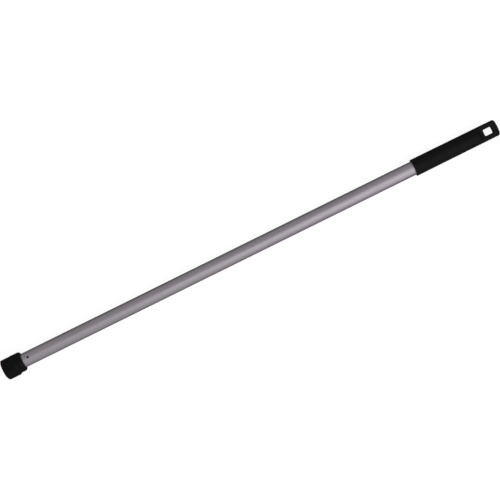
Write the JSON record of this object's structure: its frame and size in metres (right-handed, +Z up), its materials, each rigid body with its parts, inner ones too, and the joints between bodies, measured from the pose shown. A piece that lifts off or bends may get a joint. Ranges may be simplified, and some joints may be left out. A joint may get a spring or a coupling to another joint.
{
  "type": "telescoping shuffleboard cue handle",
  "caption": "Telescoping shuffleboard cue handle with a hand grip, a hang hole, a twist-lock collar and a screw-in socket for the cue's head.",
  "frame": {"origin": "middle of the cue's length, pushed together, on the floor that the collar's lobes rest on", "axes": "+X along the cue from the collar to the grip, +Z up through the hang hole"},
  "size_m": [0.964, 0.0378, 0.0387],
  "materials": {
    "anodised_tube": "satin anodised, drawn along the tube",
    "inner_tube_aluminium": "satin, drawn along the tube",
    "rivet_aluminium": "satin",
    "grip_black": "fine moulded grain, slightly soft",
    "collar_black": "satin moulded",
    "nylon_black": "satin moulded",
    "nylon_natural": "satin moulded, slightly waxy",
    "spring_steel": "plain"
  },
  "bodies": {
    "handle": {"outer_tube": "anodised_tube", "grip": "grip_black", "tube_end_plug": "nylon_black", "thread_bush": "nylon_black", "rivet_front": "rivet_aluminium", "rivet_back": "rivet_aluminium"},
    "clamp": {"clamp_ring": "nylon_natural"},
    "collar": {"lock_collar": "collar_black"},
    "glide": {"glide_ring": "nylon_natural"},
    "inner": {"inner_tube": "inner_tube_aluminium", "head_socket": "nylon_black", "socket_pin": "spring_steel", "guide_plug": "nylon_black", "guide_pin": "spring_steel"}
  },
  "joints": [
    {"name": "clamp_slide", "type": "slide", "parent": "handle", "child": "clamp", "axis": [-1, 0, 0], "range_m": [0, 0.003]},
    {"name": "collar_twist", "type": "hinge", "parent": "clamp", "child": "collar", "pos_m": [-0.462, 0, 0.01935], "axis": [-1, 0, 0], "range_deg": [0, 180]},
    {"name": "inner_slide", "type": "slide", "parent": "handle", "child": "glide", "axis": [-1, 0, 0], "range_m": [0, 0.8]},
    {"name": "inner_spin", "type": "hinge", "parent": "glide", "child": "inner", "pos_m": [0.4, 0, 0.01935], "axis": [-1, 0, 0], "continuous": true}
  ],
  "couplings": [
    {"joint": "clamp_slide", "follows": "collar_twist", "m_per_rad": 0.00095493}
  ]
}
